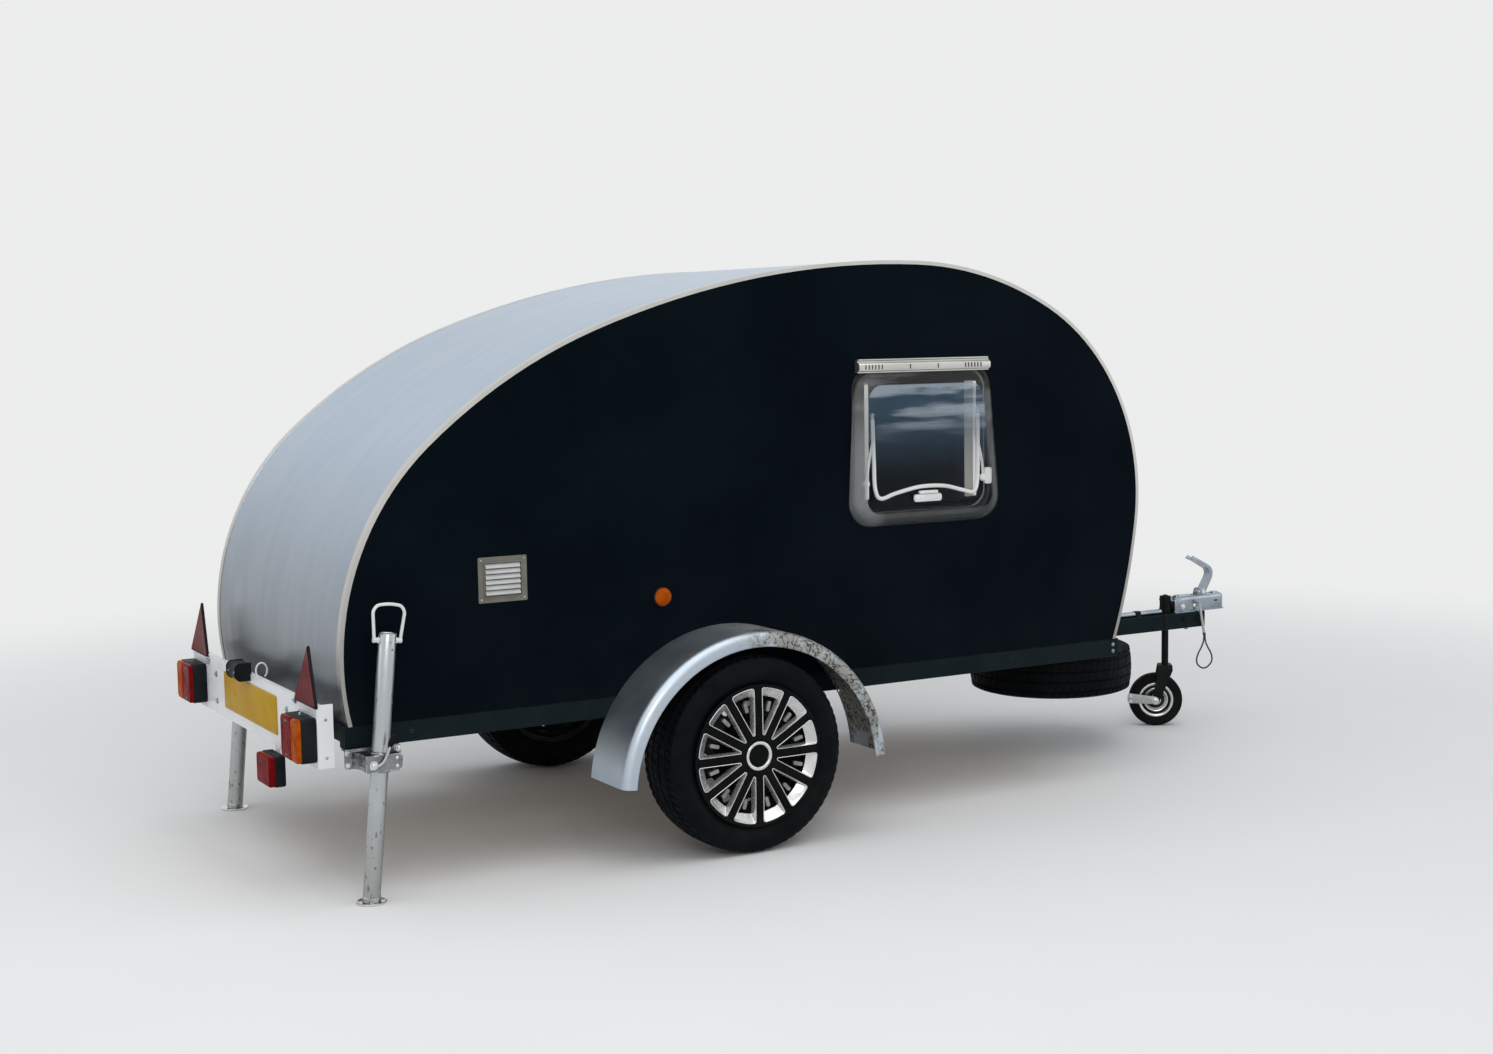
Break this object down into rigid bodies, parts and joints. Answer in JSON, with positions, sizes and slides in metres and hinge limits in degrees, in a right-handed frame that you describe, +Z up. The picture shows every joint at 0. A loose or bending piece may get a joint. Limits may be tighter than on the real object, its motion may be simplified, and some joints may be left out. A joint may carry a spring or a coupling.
{
  "type": "teardrop trailer",
  "caption": "Small towed sleeping trailer with a teardrop body, aluminium roof, spoked wheel trims, rear prop stands, light board, jockey wheel and ball coupling.",
  "frame": {"origin": "on the floor, midway along the trailer from lamp lenses to coupling nose, and midway between its wheels", "axes": "+X forward to the coupling, +Y to the trailer's left, +Z up"},
  "size_m": [3.85, 1.59, 1.729],
  "materials": {
    "panel": "satin near-black paint",
    "skin": "mill finish sheet",
    "floor": "sealed plywood",
    "trim": "extruded angle",
    "chassis": "anthracite paint",
    "galvanised": "galvanised",
    "guard": "galvanised sheet",
    "white_paint": "gloss",
    "board": "white paint",
    "black_plastic": "moulded",
    "lens": "ribbed red and amber",
    "plate": "blank reflective sheet",
    "reflector": "prismatic",
    "white_plastic": "moulded",
    "acrylic": "smoked acrylic",
    "chrome": "polished",
    "fabric": "woven cover",
    "vent": "moulded",
    "zinc": "zinc plated",
    "black_paint": "satin",
    "rubber": "solid rubber",
    "rim": "silver paint",
    "tyre": "road tyre",
    "iron": "machined and oiled",
    "trim_plastic": "black with silver edges",
    "sleeve": "soft sleeve",
    "cable": "coated cable"
  },
  "bodies": {
    "chassis": {"axle_beam": "galvanised", "cable_sleeve": "sleeve", "chassis_rails": "chassis", "coupling_head": "zinc", "coupling_lever": "zinc", "cross_members": "chassis", "drawbar": "chassis", "edge_trims": "trim", "floor_panel": "floor", "hinge_leaves": "chrome", "jockey_clamp": "black_paint", "lamp_housings": "black_plastic", "lamp_lenses": "lens", "light_board": "board", "mattress": "fabric", "mudguard_left": "guard", "mudguard_right": "guard", "number_plate": "plate", "reflectors": "reflector", "roof_shell": "skin", "safety_cable": "cable", "side_panel_left": "panel", "side_panel_right": "panel", "side_vents": "vent", "spare_carrier": "galvanised", "spare_rim": "rim", "spare_tyre": "tyre", "stand_clamp_left": "galvanised", "stand_clamp_right": "galvanised", "swing_arm_left": "galvanised", "swing_arm_right": "galvanised", "window_frame": "white_plastic", "window_pane": "acrylic"},
    "door": {"door": "panel", "door_window": "acrylic", "door_leaves": "chrome", "door_lock": "black_plastic"},
    "jockey_tube": {"jockey_stem": "black_paint"},
    "jockey_castor": {"jockey_fork": "zinc"},
    "jockey_wheel": {"jockey_tyre": "rubber", "jockey_rim": "rim"},
    "wheel_right": {"tyre_right": "tyre", "rim_right": "rim", "hub_right": "iron", "wheel_trim_right": "trim_plastic"},
    "stand_right": {"stand_leg_right": "galvanised", "stand_handle_right": "white_paint"},
    "wheel_left": {"tyre_left": "tyre", "rim_left": "rim", "hub_left": "iron", "wheel_trim_left": "trim_plastic"},
    "stand_left": {"stand_leg_left": "galvanised", "stand_handle_left": "white_paint"}
  },
  "joints": [
    {"name": "wheel_right_spin", "type": "hinge", "parent": "chassis", "child": "wheel_right", "pos_m": [-0.616, -0.6975, 0.292], "axis": [0, 1, 0], "continuous": true},
    {"name": "wheel_left_spin", "type": "hinge", "parent": "chassis", "child": "wheel_left", "pos_m": [-0.616, 0.6975, 0.292], "axis": [0, 1, 0], "continuous": true},
    {"name": "door_hinge", "type": "hinge", "parent": "chassis", "child": "door", "pos_m": [0.413, 0.597, 0.97], "axis": [0, 0, -1], "range_deg": [0, 110]},
    {"name": "stand_right_slide", "type": "slide", "parent": "chassis", "child": "stand_right", "axis": [0.0958, 0, 0.9954], "range_m": [0, 0.25]},
    {"name": "stand_left_slide", "type": "slide", "parent": "chassis", "child": "stand_left", "axis": [0.0958, 0, 0.9954], "range_m": [0, 0.25]},
    {"name": "jockey_lift", "type": "slide", "parent": "chassis", "child": "jockey_tube", "axis": [0, 0, 1], "range_m": [0, 0.11], "deforming": ["safety_cable"]},
    {"name": "jockey_swivel", "type": "hinge", "parent": "jockey_tube", "child": "jockey_castor", "pos_m": [1.64, 0, 0.23], "axis": [0, 0, 1], "continuous": true},
    {"name": "jockey_spin", "type": "hinge", "parent": "jockey_castor", "child": "jockey_wheel", "pos_m": [1.61133, 0.02007, 0.1], "axis": [-0.5736, -0.8192, 0], "continuous": true}
  ]
}
